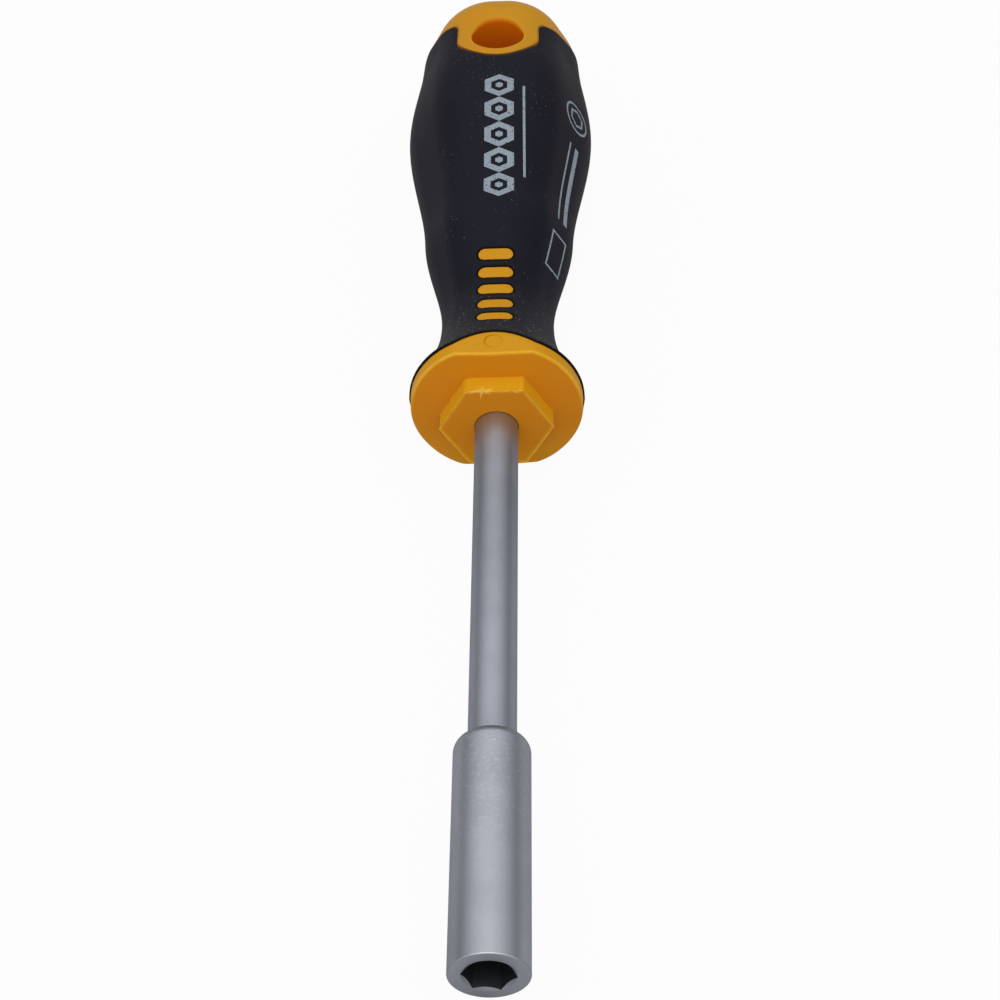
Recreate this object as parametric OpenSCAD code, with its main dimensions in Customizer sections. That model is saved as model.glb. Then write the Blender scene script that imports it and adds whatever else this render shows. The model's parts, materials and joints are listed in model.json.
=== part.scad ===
// Bit holder screwdriver: steel sleeve with a hexagonal socket, round blade and two-part moulded handle.
// The tool lies along +Y with its socket mouth at the origin, facing -Y. +Z is the side with the inlay.

/* [Bit socket] */
// Width across the flats of the hexagonal socket
socket_af = 6.45; // [6.4:0.01:6.6]
// Depth from the mouth to the face of the magnet
socket_depth = 11; // [9:0.5:14]
// Diameter of the lead-in cone at the mouth
mouth_d = 7.4; // [7.2:0.1:8.6]
// How far the socket is turned from the boss, clockwise seen from the mouth
socket_turn = 8; // [0:1:30]

/* [Retaining ring] */
// Thickness of the spring wire
ring_wire = 0.8; // [0.6:0.05:1]
// Distance from the mouth to the middle of the wire
ring_setback = 6; // [3:0.1:8]
// How far the ring stands into the corners of the socket
ring_reach = 0.3; // [0.2:0.05:0.4]
// Angle left open between the ends of the ring
ring_gap = 40; // [20:5:90]
// Space round the wire in its groove
ring_clearance = 0.1; // [0.05:0.01:0.15]

/* [Sleeve] */
// Outer diameter of the sleeve
sleeve_d = 11; // [10.6:0.1:13]
// Length of the sleeve
sleeve_len = 37; // [30:0.5:50]
// Rounding of the edge at the mouth
sleeve_edge_r = 0.2; // [0.1:0.05:0.8]
// Rounding of the shoulder at the shaft
sleeve_shoulder_r = 1.9; // [0.5:0.1:1.9]

/* [Magnet] */
// Thickness of the round magnet
magnet_t = 3; // [2:0.5:5]
// Space between the magnet and the flats of the socket
magnet_clearance = 0.075; // [0.05:0.005:0.15]

/* [Blade] */
// Free length from the mouth of the socket to the handle
blade_len = 100; // [80:1:150]
// Diameter of the round shaft
shaft_d = 7; // [6.5:0.1:8]
// Length of shaft held in the handle
tang_len = 70; // [55:1:75]
// Width over a pair of flattened wings
wing_span = 11; // [9:0.5:12]
// Thickness of the wings
wing_t = 3; // [2:0.1:4]
// Length of the wings
wing_len = 8; // [5:0.5:10]
// Number of pairs of wings
wing_count = 2; // [1:1:3]
// Distance between pairs of wings
wing_pitch = 14; // [11:0.5:16]
// Plain end of the shaft behind the last wings
tang_tip = 4; // [2:0.5:8]

/* [Handle front] */
// Width across the flats of the hexagonal boss
boss_af = 16; // [13:0.5:19]
// Height of the boss
boss_h = 3.2; // [2:0.1:8]
// Diameter of the flange at its front edge
flange_front_d = 28; // [25:0.1:28.4]
// Diameter of the flange where it meets the grip
flange_back_d = 28.1; // [27:0.1:28.4]
// Thickness of the flange at its rim
flange_t = 2.3; // [1.5:0.1:4]
// How far the flange's face falls back from the boss to the rim
flange_fall = 1; // [0.5:0.1:2.5]
// Rounding of the flange's front edge
flange_edge_r = 0.25; // [0.2:0.05:1]
// Distance between the flats on top and bottom, which run from the flange into the grip
front_flats_w = 25; // [22:0.1:27]
// Length of the cone by which the back of the flange narrows to the core, under the grip
cone_len = 10.5; // [6:0.5:16]

/* [Grip outline] */
// Width at the lip behind the flange
lip_d = 28.5; // [28:0.1:31]
// Length of the lip
lip_len = 0.6; // [0.4:0.1:2]
// Width at the waist
waist_d = 18.9; // [17:0.1:22]
// Width at the swell in front of the belly
swell_d = 26; // [23:0.1:28]
// Width at the belly, over the corners
belly_d = 33.6; // [31:0.1:38]
// Width at the belly, across the flats
belly_af = 31.8; // [30:0.1:31.9]
// Width where the rounding of the end begins
tail_d = 29.5; // [27:0.1:31]
// Length from the lip to the waist
neck_len = 16.7; // [13:0.1:20]
// Length from the waist to the swell
swell_len = 21.7; // [18:0.1:28]
// Length from the swell to the belly
rise_len = 30; // [26:0.1:36]
// Length from the belly to the rounding of the end
fall_len = 21.5; // [19:0.1:28]
// Length of the rounded end
dome_len = 12.6; // [10:0.1:15]
// Wall of the soft grip over the core, at the flats
grip_wall = 2.4; // [1.6:0.1:3]

/* [Hang hole] */
// Diameter of the hang hole
hang_d = 9.6; // [7:0.1:11]
// Distance from the end of the handle to the axis of the hole
hang_setback = 21.4; // [18:0.1:24]
// Hard wall round the front of the hole
lobe_wall = 2.8; // [2.5:0.05:5]
// Length of the hard end cap at its sides
cap_len = 11; // [9:0.1:13]
// Radius of the grip's rear edge, seen from the side
cap_edge_r = 19.6; // [18:0.1:40]

/* [Inlay] */
// Number of crosswise bars in the top of the grip
inlay_count = 5; // [1:1:6]
// Length of a bar across the grip
inlay_len = 5.8; // [4:0.1:8]
// Width of a bar along the grip
inlay_w = 2.2; // [1.2:0.1:2.6]
// Distance between bars
inlay_pitch = 4; // [3:0.1:4.4]
// Distance from the lip to the middle of the first bar
inlay_start = 8.9; // [8:0.1:13]

/* [Hidden] */
$fn = 64;

// Overshoot of every cut past the face that it opens
cut = 1;
// Smallest land left beside the shaft at the sleeve's shoulder
shoulder_land = 0.1;
// Depth to which joined solids run into each other
weld = 1;

// Socket and ring
socket_ac = socket_af / cos(30);
lead_in = (mouth_d - socket_af) / 2;
ring_inner_r = socket_ac / 2 - ring_reach;
ring_mid_r = ring_inner_r + ring_wire / 2;
groove_r = ring_inner_r + ring_wire + ring_clearance;
groove_w = ring_wire + 2 * ring_clearance;
shaft_front = socket_depth + magnet_t;
shoulder_r = min(sleeve_shoulder_r, (sleeve_d - shaft_d) / 2 - shoulder_land);

// Places along the tool
flange_root = blade_len + boss_h;
flange_rim = flange_root + flange_fall;
grip_front = flange_rim + flange_t;
body_len = lip_len + neck_len + swell_len + rise_len + fall_len;
handle_end = grip_front + body_len + dome_len;
tang_end = blade_len + tang_len;
hang_y = handle_end - hang_setback;

// Outline of the handle: distance from the lip, half width and slope at each station
lip_slope = -0.66;
swell_slope = 0.04;
tail_slope = -0.05;
waist_at = lip_len + neck_len;
swell_at = waist_at + swell_len;
belly_at = swell_at + rise_len;
stations = [
    [0, lip_d / 2, 0],
    [lip_len, lip_d / 2, lip_slope],
    [waist_at, waist_d / 2, 0],
    [swell_at, swell_d / 2, swell_slope],
    [belly_at, belly_d / 2, 0],
    [body_len, tail_d / 2, tail_slope],
];

// How strongly the six flats show along the handle, as a share of the belly's
flat_shares = [[0, 0], [swell_at, 1], [belly_at, 1], [body_len, 0.8], [body_len + dome_len, 0.3]];
belly_flat = 1 - belly_af / belly_d;

// Steps of the handle's surface
sides = 48;
body_rings = 30;
dome_rings = 8;
dome_last = 86;
dome_power = 0.86;
core_rings = 28;

// Cubic between two stations, each a place, a value and a slope
function cubic(a, b, u) =
    let (h = b[0] - a[0])
    (2 * u^3 - 3 * u^2 + 1) * a[1] + (u^3 - 2 * u^2 + u) * h * a[2]
    + (3 * u^2 - 2 * u^3) * b[1] + (u^3 - u^2) * h * b[2];

// Half width of the handle over its corners, at a distance from the lip, before the end is rounded
function half_width(d, i = 0) =
    i < len(stations) - 2 && d > stations[i + 1][0]
    ? half_width(d, i + 1)
    : d > body_len
    ? tail_d / 2 + tail_slope * (d - body_len)
    : cubic(stations[i], stations[i + 1], (d - stations[i][0]) / (stations[i + 1][0] - stations[i][0]));

// Depth of the flats as a share of the half width
function flat_depth(d) = belly_flat * lookup(d, flat_shares);

// One ring of points round the handle
function ring(d, r) = [
    for (i = [0 : sides - 1])
        let (a = 360 * i / sides)
        let (rho = r * (1 - flat_depth(d) * (1 - cos(6 * a)) / 2))
        [rho * cos(a), grip_front + d, rho * sin(a)]
];

// Distances and half widths of all rings, from the lip to the end of the dome
body_steps = concat(
    [[0, half_width(0)]],
    [
        for (i = [0 : body_rings])
            let (d = lip_len + (body_len - lip_len) * i / body_rings)
            [d, half_width(d)]
    ]
);
dome_steps = [
    for (i = [1 : dome_rings])
        let (a = dome_last * i / dome_rings)
        let (d = body_len + dome_len * sin(a) / sin(dome_last))
        [d, half_width(d) * cos(a)^dome_power]
];

// Lays a shape drawn along +Z along the tool
module along_tool(y = 0) {
    translate([0, y, 0]) rotate([-90, 0, 0]) children();
}

// The whole outside of the handle behind the flange
module handle_form() {
    steps = concat(body_steps, dome_steps);
    last = len(steps) - 1;
    points = [for (s = steps) each ring(s[0], s[1])];
    walls = [
        for (k = [0 : last - 1], i = [0 : sides - 1])
            let (j = (i + 1) % sides)
            let (p = k * sides, q = p + sides)
            each [[p + i, p + j, q + j], [p + i, q + j, q + i]]
    ];
    front = [[for (i = [sides - 1 : -1 : 0]) i]];
    back = [[for (i = [0 : sides - 1]) last * sides + i]];
    difference() {
        polyhedron(points, concat(walls, front, back));
        front_flats();
    }
}

// Space above and below the two flats at the front of the handle
module front_flats() {
    for (side = [0, 1])
        mirror([0, 0, side]) translate([-belly_d, blade_len, front_flats_w / 2])
            cube([2 * belly_d, grip_front + waist_at - blade_len, belly_d]);
}

// Round inner body of the core: the cone behind the flange, then one grip wall below the grip's flats
module core_body() {
    core_len = handle_end - cap_len + weld - grip_front;
    root_r = flange_back_d / 2;
    wall_r = [
        for (i = [0 : core_rings])
            let (d = cone_len + (core_len - cone_len) * i / core_rings)
            [half_width(d) * (1 - flat_depth(d)) - grip_wall, d]
    ];
    along_tool(grip_front)
        rotate_extrude()
            polygon(concat([[0, -weld], [root_r - weld, -weld], [root_r, 0]], wall_r, [[0, core_len]]));
}

// Outline of the hard wall round the hang hole, seen from above, with the hole's axis at zero
module lobe_outline() {
    lobe_r = hang_d / 2 + lobe_wall;
    circle(lobe_r);
    translate([-lobe_r, 0]) square([2 * lobe_r, hang_setback + cut]);
}

// One crosswise bar of the inlay, seen from above
module bar_outline() {
    square([inlay_len - inlay_w, inlay_w], center = true);
    for (side = [-1, 1]) translate([side * (inlay_len - inlay_w) / 2, 0]) circle(d = inlay_w);
}

// Space behind the grip's rear edge
module cap_field() {
    edge_axis = handle_end - cap_len - cap_edge_r;
    difference() {
        translate([-belly_d, edge_axis, -belly_d]) cube([2 * belly_d, handle_end + cut - edge_axis, 2 * belly_d]);
        translate([0, edge_axis, 0]) rotate([0, 90, 0]) cylinder(r = cap_edge_r, h = 3 * belly_d, center = true);
    }
}

// Space in which the hard core reaches the outside of the handle
module core_field() {
    cap_field();
    translate([0, hang_y, -belly_d]) linear_extrude(2 * belly_d) lobe_outline();
    for (i = [0 : inlay_count - 1])
        translate([0, grip_front + inlay_start + i * inlay_pitch, 0]) linear_extrude(belly_d) bar_outline();
}

// Flange with a sloping face and a rounded front edge
module flange() {
    front_r = flange_front_d / 2;
    back_r = flange_back_d / 2;
    edge_y = flange_fall + flange_edge_r;
    along_tool(flange_root) rotate_extrude() {
        polygon([
            [0, 0], [boss_af / 2, 0], [front_r - flange_edge_r, flange_fall], [front_r, edge_y],
            [back_r, flange_fall + flange_t], [0, flange_fall + flange_t]
        ]);
        translate([front_r - flange_edge_r, edge_y]) circle(flange_edge_r);
    }
}

// Steel sleeve with the socket, the groove of the ring and the bore for the shaft
module bit_sleeve() {
    sleeve_r = sleeve_d / 2;
    color("silver") along_tool() difference() {
        rotate_extrude() {
            translate([0, sleeve_edge_r]) square([sleeve_r, sleeve_len - sleeve_edge_r - shoulder_r]);
            square([sleeve_r - sleeve_edge_r, sleeve_edge_r + weld]);
            translate([0, sleeve_len - shoulder_r - weld]) square([sleeve_r - shoulder_r, shoulder_r + weld]);
            translate([sleeve_r - sleeve_edge_r, sleeve_edge_r]) circle(sleeve_edge_r);
            translate([sleeve_r - shoulder_r, sleeve_len - shoulder_r]) circle(shoulder_r);
        }
        rotate(socket_turn) translate([0, 0, -cut]) cylinder(d = socket_ac, h = shaft_front + 2 * cut, $fn = 6);
        translate([0, 0, -cut]) cylinder(d1 = mouth_d + 2 * cut, d2 = socket_af, h = lead_in + cut);
        translate([0, 0, ring_setback - groove_w / 2]) cylinder(r = groove_r, h = groove_w);
        translate([0, 0, shaft_front]) cylinder(d = shaft_d, h = sleeve_len);
    }
}

// Split ring of spring wire, loose in its groove
module retaining_ring() {
    color("gray") along_tool(ring_setback)
        rotate([0, 0, 90 + ring_gap / 2]) rotate_extrude(angle = 360 - ring_gap)
            translate([ring_mid_r, 0]) circle(d = ring_wire);
}

// Round magnet seated on the end of the shaft
module magnet() {
    color("dimgray") along_tool(socket_depth) cylinder(d = socket_af - 2 * magnet_clearance, h = magnet_t);
}

// Round shaft from the magnet to the end of the tang, with wings that keep it from turning
module blade_shaft() {
    color("lightgray") {
        along_tool(shaft_front) cylinder(d = shaft_d, h = tang_end - shaft_front);
        for (i = [0 : wing_count - 1])
            translate([-wing_span / 2, tang_end - tang_tip - wing_len - i * wing_pitch, -wing_t / 2])
                cube([wing_span, wing_len, wing_t]);
    }
}

// Hard core with boss, flange, domed end and inlay
module handle_core() {
    color("orange") difference() {
        union() {
            along_tool(blade_len) cylinder(d = boss_af / cos(30), h = boss_h + weld, $fn = 6);
            flange();
            core_body();
            intersection() {
                handle_form();
                core_field();
            }
        }
        front_flats();
        blade_shaft();
        translate([0, hang_y, -belly_d]) cylinder(d = hang_d, h = 2 * belly_d);
    }
}

// Soft grip between the flange and the end cap
module soft_grip() {
    color("#26262b") difference() {
        handle_form();
        core_field();
        core_body();
    }
}

bit_sleeve();
retaining_ring();
magnet();
blade_shaft();
handle_core();
soft_grip();
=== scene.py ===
"""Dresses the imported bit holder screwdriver: steel sleeve and blade, yellow core and black grip."""

import json
import math

import bmesh
import bpy
from mathutils import Matrix, Vector, noise


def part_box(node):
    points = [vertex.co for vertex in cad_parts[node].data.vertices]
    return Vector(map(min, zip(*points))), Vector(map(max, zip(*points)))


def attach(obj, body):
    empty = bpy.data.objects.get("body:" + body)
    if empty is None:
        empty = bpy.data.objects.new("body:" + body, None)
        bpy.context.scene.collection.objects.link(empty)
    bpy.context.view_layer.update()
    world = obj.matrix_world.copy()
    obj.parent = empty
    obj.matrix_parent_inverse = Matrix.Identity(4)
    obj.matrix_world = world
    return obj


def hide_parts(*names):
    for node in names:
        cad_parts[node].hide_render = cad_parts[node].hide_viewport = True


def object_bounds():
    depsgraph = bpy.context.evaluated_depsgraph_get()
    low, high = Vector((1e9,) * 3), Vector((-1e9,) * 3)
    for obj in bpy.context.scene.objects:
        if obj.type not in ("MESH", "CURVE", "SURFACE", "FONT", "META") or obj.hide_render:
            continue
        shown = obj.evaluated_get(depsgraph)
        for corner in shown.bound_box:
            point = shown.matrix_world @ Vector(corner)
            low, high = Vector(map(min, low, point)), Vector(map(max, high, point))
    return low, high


bl_info = {
    "name": "Bit holder screwdriver",
    "version": (1, 0, 0),
    "blender": (4, 5, 0),
    "location": "View3D > Sidebar > Screwdriver",
    "description": "Builds the visible pieces and finishes of a bit holder screwdriver on its frame",
    "category": "Object",
}

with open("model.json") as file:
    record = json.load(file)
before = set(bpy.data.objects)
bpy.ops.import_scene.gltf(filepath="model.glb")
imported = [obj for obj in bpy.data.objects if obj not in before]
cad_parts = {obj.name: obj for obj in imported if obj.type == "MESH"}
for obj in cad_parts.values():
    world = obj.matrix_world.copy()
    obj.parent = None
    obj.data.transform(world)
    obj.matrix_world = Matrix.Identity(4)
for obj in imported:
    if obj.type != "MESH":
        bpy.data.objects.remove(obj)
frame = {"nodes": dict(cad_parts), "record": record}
CAD_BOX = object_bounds()
MM = 0.001
FULL_TURN = 2 * math.pi

# Places taken from the frame
SLEEVE_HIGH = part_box("bit_sleeve")[1]
SHAFT_LOW, SHAFT_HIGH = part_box("blade_shaft")
CORE_LOW, CORE_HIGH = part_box("handle_core")
GRIP_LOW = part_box("soft_grip")[0]
MAGNET_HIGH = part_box("magnet")[1]
RING_LOW, RING_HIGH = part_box("retaining_ring")
HANG_HOLE = next(mount for mount in frame["record"]["mounts"] if mount["name"] == "hang_hole")
HOLE_Y = HANG_HOLE["pos_m"][1]
HOLE_R = HANG_HOLE["dims"]["r_mm"] * MM

# Radius of the bores that the shaft hides
HIDDEN_R = SHAFT_HIGH.z * 0.9

# Marks on the core's points, from which its finish tells edges, sides, faces, hole and seam apart
# The marks carry flash, painted light, painted shade, a painted shadow in the seam and painted
# highlights.
CORE_MARKS = ("torn", "bright", "front", "hole", "seam")


def length(name, description, value):
    """A length property, its default given in millimetres."""
    return bpy.props.FloatProperty(
        name=name, description=description, default=value * MM,
        unit="LENGTH", subtype="DISTANCE", precision=5,
    )


def angle(name, description, degrees):
    """An angle property, its default given in degrees."""
    return bpy.props.FloatProperty(
        name=name, description=description, default=math.radians(degrees),
        unit="ROTATION", subtype="ANGLE",
    )


def colour(name, description, value):
    """A colour property, its default given as linear red, green and blue."""
    return bpy.props.FloatVectorProperty(
        name=name, description=description, default=value, size=3, min=0, max=1, subtype="COLOR",
    )


def share(name, description, value):
    """A property that is a plain number, such as a brightness or a slope."""
    return bpy.props.FloatProperty(
        name=name, description=description, default=value, min=0, max=4, subtype="FACTOR",
    )


class SteelSizes(bpy.types.PropertyGroup):
    socket_flats: length("Socket", "Width across the flats of the hexagonal socket", 6.45)
    socket_turn: angle("Socket turn", "Turn of the socket against the boss", 8)
    mouth: length("Mouth", "Diameter of the lead-in cone at the mouth", 7.4)
    lead_in: length("Lead-in", "Depth of the lead-in cone at the flats of the socket", 0.34)
    edge_round: length("Mouth edge", "Rounding of the sleeve's edge at the mouth", 0.2)
    shoulder_round: length("Shoulder", "Rounding of the sleeve's shoulder at the shaft", 2.05)
    groove_play: length("Groove play", "Space round the retaining ring in its groove", 0.1)
    seat_gap: length("Seat gap", "Width of the gap between the sleeve's shoulder and the shaft", 0.28)
    seat_depth: length("Seat depth", "Depth of that gap", 0.9)
    wing_thickness: length("Wings", "Thickness of the flattened wings on the hidden end of the shaft", 3)
    wing_length: length("Wing length", "Length of a wing", 8)
    wing_pitch: length("Wing pitch", "Distance between the pairs of wings", 14)
    wing_tip: length("Tang tip", "Plain end of the shaft behind the last wings", 4)


class CoreSizes(bpy.types.PropertyGroup):
    boss_flats: length("Boss", "Width across the flats of the hexagonal boss", 16)
    boss_height: length("Boss height", "Height of the boss", 3.2)
    boss_corner: length("Boss corners", "Rounding of the corners of the boss", 0.3)
    boss_worn: length("Worn corner", "Rounding of the worn upper left corner of the boss", 1.5)
    boss_fillet: length("Boss root", "Rounding where the boss meets the flange", 0.05)
    bore_play: length("Bore play", "Gap between the boss and the shaft", 0.06)
    flash: length("Flash", "Height of the ridge of flash along the front edge of the boss", 0.1)
    flash_flare: length("Flash flare", "How far the flash stands out over the sides of the boss", 0.14)
    flange_front: length("Flange front", "Diameter of the flange at its front edge", 28)
    flange_back: length("Flange back", "Diameter of the flange where it meets the grip", 28.1)
    flange_fall: length("Flange fall", "How far the flange's face falls back from the boss to the rim", 1)
    flange_round: length("Flange edge", "Rounding of the flange's front edge", 0.25)
    flats: length("Flats", "Distance between the two flats that run from the flange into the grip", 25)
    cone: length("Cone", "Length of the cone behind the flange, under the grip", 10.5)
    mark: length("Pin mark", "Diameter of the round mark that the mould's pin left on the flat", 2.9)
    mark_wire: length("Pin mark line", "Width of that mark's line", 0.32)
    mark_place: length("Pin mark place", "Distance of the mark in front of the grip's lip", -0.35)
    hole_round: length("Hole edge", "Rounding of the hang hole's edge at its front", 0.3)
    hole_back_round: length("Hole back edge", "Rounding of the hang hole's edge at its back", 1.1)
    hole_lean: length("Hole lean", "How far the hole's back wall leans back at its ends", 1.85)
    cap_inset: length("Cap inset", "How far the hard end lies below the soft grip", 0.05)


class GripSizes(bpy.types.PropertyGroup):
    lip: length("Lip", "Width at the lip behind the flange", 28.5)
    waist: length("Waist", "Width at the waist", 18.9)
    swell: length("Swell", "Width at the swell in front of the belly", 26)
    belly: length("Belly", "Width at the belly, over the corners", 33.6)
    belly_flats: length("Belly flats", "Width at the belly, across the flats", 31.8)
    tail: length("Tail", "Width where the rounding of the end begins", 29.5)
    lip_length: length("Lip length", "Length of the lip", 0.6)
    neck_length: length("Neck length", "From the lip to the waist", 16.7)
    swell_length: length("Swell length", "From the waist to the swell", 21.7)
    rise_length: length("Rise length", "From the swell to the belly", 30)
    fall_length: length("Fall length", "From the belly to the rounding of the end", 21.5)
    wall: length("Wall", "Wall of the soft grip over the core, at the flats", 2.4)
    lip_round: length("Lip edge", "Rounding of the lip's front edge", 0.12)
    lip_gap: length("Lip gap", "Gap between the grip and the cone behind the flange", 0.17)
    lip_ragged: length("Lip flash", "How far the thin edge of the lip is ragged at the sides", 0.2)
    lobe_wall: length("Lobe", "Hard wall round the front of the hang hole", 2.8)
    cap_length: length("Cap", "Length of the hard end cap at its sides", 11)
    cap_edge: length("Cap edge", "Radius of the grip's rear edge, seen from the side", 19.6)
    cap_skew: share("Cap skew", "Slope by which that edge lies further back on the left", 0.041)
    horn: length("Horns", "Rounding of the four corners between lobes and cap", 0.7)
    rear_gap: length("Rear gap", "Gap between the grip and the hard end", 0.1)
    bar_gap: length("Bar gap", "Gap round the inlaid bars", 0.1)
    rear_rise: length("Rear rise", "How far the grip's rear edge stands out over the hard end", 0.12)
    edge_width: length("Soft edge", "Width of the rounded edges along these gaps", 0.35)
    edge_depth: length("Soft edge depth", "Depth of those edges", 0.07)
    bar_length: length("Bar length", "Length of an inlaid bar across the grip", 5.8)
    bar_width: length("Bar width", "Width of an inlaid bar along the grip", 2.2)
    bar_pitch: length("Bar pitch", "Distance between the inlaid bars", 4)
    bar_start: length("Bar start", "Distance from the lip to the middle of the first bar", 8.9)
    bar_count: bpy.props.IntProperty(
        name="Bars", description="Number of inlaid bars", default=5, min=1, max=6,
    )


class FinishColours(bpy.types.PropertyGroup):
    steel: colour("Satin steel", "Satin plated steel of the sleeve", (0.433, 0.458, 0.512))
    shaft: colour("Satin shaft", "Satin plated steel of the shaft", (0.46, 0.485, 0.555))
    spring: colour("Spring wire", "Plain spring wire", (0.30, 0.30, 0.31))
    magnet: colour("Magnet", "Plated magnet", (0.36, 0.36, 0.38))
    plastic: colour("Yellow plastic", "Hard plastic of the core", (0.53, 0.25, 0.0045))
    # Painted light: a lighter copy of the yellow for the boss and the flange's sides.
    plastic_painted_light: colour("Bright yellow", "Plastic beside the boss and flange", (0.665, 0.31, 0.007))
    # Deeper yellow for the random flow streaks, and painted shade on the front faces of flange and boss.
    plastic_streak_and_shade: colour("Deep yellow", "Plastic on the faces of flange and boss", (0.575, 0.20, 0.003))
    # Painted shade inside the hang hole, as a deeper orange of the same plastic.
    plastic_hole_shade: colour("Orange", "Hard plastic inside the hang hole", (0.59, 0.132, 0.0011))
    seam: colour("Seam", "Shadow in the seam along the soft grip", (0.055, 0.017, 0.001))
    # Paler flash on broken edges; the same colour paints light through the boss's edges and highlights on
    # edges.
    flash: colour("Flash", "Plastic along torn edges", (0.76, 0.40, 0.024))
    # Painted highlight on the upper front edge of the sleeve.
    steel_highlight: colour("Bright steel", "Steel along the sleeve's rubbed front edge", (0.78, 0.80, 0.85))
    scuff: colour("Scuff", "Pale plastic where an edge is scuffed", (0.82, 0.49, 0.09))
    rubber: colour("Black rubber", "Soft grip", (0.0045, 0.0045, 0.010))
    # Painted shadow along the grip's edges at the hard core.
    rubber_edge_shadow: colour("Rubber edge", "Soft grip along its edges", (0.003, 0.0026, 0.0026))
    dust: colour("Dust", "Dust and lint on the grip", (0.30, 0.29, 0.28))
    print_ink: colour("Print", "Pale grey ink on the grip", (0.25, 0.297, 0.345))


class StageSettings(bpy.types.PropertyGroup):
    lens: length("Lens", "Focal length on a sensor 36 mm wide", 75.3)
    pitch: angle("Pitch", "How far the camera looks down on the tool", 46.5)
    tool_roll: angle("Tool roll", "How far the tool is turned about its own axis under the camera", 3)
    camera_roll: angle("Camera roll", "Turn of the camera about its line of sight", 0.677)
    eye: bpy.props.FloatVectorProperty(
        name="Eye", description="Place of the camera before the tool roll", size=3,
        default=(0.6876 * MM, -139.97 * MM, 235.97 * MM), unit="LENGTH", subtype="XYZ",
    )
    floor_span: length("Floor", "Width of the floor", 6000)
    floor_grey: share("Floor grey", "Paleness of the floor under light", 0.55)
    lamp_span: length("Lamp", "Width of the soft lamp over the tool", 900)
    lamp_height: length("Lamp height", "Distance of that lamp from the floor", 800)
    lamp_tilt: angle("Lamp tilt", "How far the lamp hangs towards the socket's side", 25)
    lamp_power: bpy.props.FloatProperty(
        name="Lamp power", description="Power of the lamp", default=1.6, min=0, unit="POWER",
    )
    sky_top: share("Sky top", "Brightness of the room overhead", 1.08)
    sky_front: share("Sky front", "Brightness of the room on the camera's side", 1.0)
    sky_back: share("Sky back", "Brightness of the room behind the tool", 0.17)
    right_fall: share("Right side", "How much darker the room is on the right", 0.22)
    white: share("White floor", "Share of plain white in the floor that the camera sees", 0.95)
    white_mirrored: share("White mirrored", "Share of plain white in the floor that metal mirrors", 0.02)


# Mesh tools

def spaced(*runs):
    """Values along a line. Each run is a start, an end and the step between values."""
    values = []
    for start, end, step in runs:
        count = max(1, round((end - start) / step))
        values += [start + (end - start) * i / count for i in range(count)]
    return values + [runs[-1][1]]


def around(r, y, a):
    """The point at a radius, a place along the tool and an angle from the right."""
    return Vector((r * math.cos(a), y, r * math.sin(a)))


def waver(a, waves, seed):
    """Noise round the tool at an angle. More waves make it finer."""
    return noise.noise(Vector((math.cos(a) * waves, math.sin(a) * waves, seed)))


def arc(centre, radius, start, end, count):
    """Points on an arc in a profile, each a radius and a place along the tool, from angles in degrees."""
    steps = [math.radians(start + (end - start) * i / count) for i in range(count + 1)]
    return [(centre[0] + radius * math.cos(a), centre[1] + radius * math.sin(a)) for a in steps]


def wrap(rows, columns, place):
    """A grid whose vertices go to place(row, column), welded where its edges meet."""
    mesh = bmesh.new()
    bmesh.ops.create_grid(mesh, x_segments=len(columns) - 1, y_segments=len(rows) - 1, size=0.5)
    for vert in mesh.verts:
        column = columns[round((vert.co.x + 0.5) * (len(columns) - 1))]
        row = rows[round((vert.co.y + 0.5) * (len(rows) - 1))]
        vert.co = place(row, column)
    return weld(mesh)


def weld(mesh):
    """Merges doubles and turns all faces outwards."""
    bmesh.ops.remove_doubles(mesh, verts=mesh.verts, dist=1e-7)
    bmesh.ops.recalc_face_normals(mesh, faces=mesh.faces)
    return mesh


def turned(profile, columns):
    """A solid turned about the tool's axis from a closed profile of radius and place."""
    return wrap(profile + profile[:1], columns, lambda row, a: around(*row, a))


def prism(outline, rise):
    """A prism over a closed outline of points."""
    mesh = bmesh.new()
    base = mesh.faces.new([mesh.verts.new(point) for point in outline])
    grown = bmesh.ops.extrude_face_region(mesh, geom=[base])["geom"]
    bmesh.ops.translate(mesh, verts=[v for v in grown if isinstance(v, bmesh.types.BMVert)], vec=rise)
    return weld(mesh)


def joined(*meshes):
    """Several meshes as one."""
    whole = bmesh.new()
    for mesh in meshes:
        data = bpy.data.meshes.new("part")
        mesh.to_mesh(data)
        whole.from_mesh(data)
        bpy.data.meshes.remove(data)
        mesh.free()
    return whole


def shape_object(name, mesh):
    """An object that holds a mesh, which is freed."""
    data = bpy.data.meshes.new(name)
    mesh.to_mesh(data)
    mesh.free()
    made = bpy.data.objects.new(name, data)
    bpy.context.scene.collection.objects.link(made)
    return made


def combined(base, tool, operation):
    """Two closed meshes joined, cut or crossed."""
    pair = [shape_object("base", base), shape_object("tool", tool)]
    modifier = pair[0].modifiers.new("combine", "BOOLEAN")
    modifier.operation = operation
    modifier.solver = "EXACT"
    modifier.object = pair[1]
    result = bmesh.new()
    result.from_object(pair[0], bpy.context.evaluated_depsgraph_get())
    if not result.faces:
        raise RuntimeError("Two meshes could not be combined")
    for item in pair:
        data = item.data
        bpy.data.objects.remove(item)
        bpy.data.meshes.remove(data)
    return result


def piece(name, mesh, finish, slot, *nodes, sharp=38):
    """Makes a mesh a named piece of the tool, in place of its CAD nodes."""
    for face in mesh.faces:
        face.smooth = True
    for edge in mesh.edges:
        edge.smooth = edge.calc_face_angle(0) < math.radians(sharp)
    made = shape_object(name, mesh)
    made.data.materials.append(finish)
    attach(made, "screwdriver")
    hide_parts(*nodes)


# Outline of the handle

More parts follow.
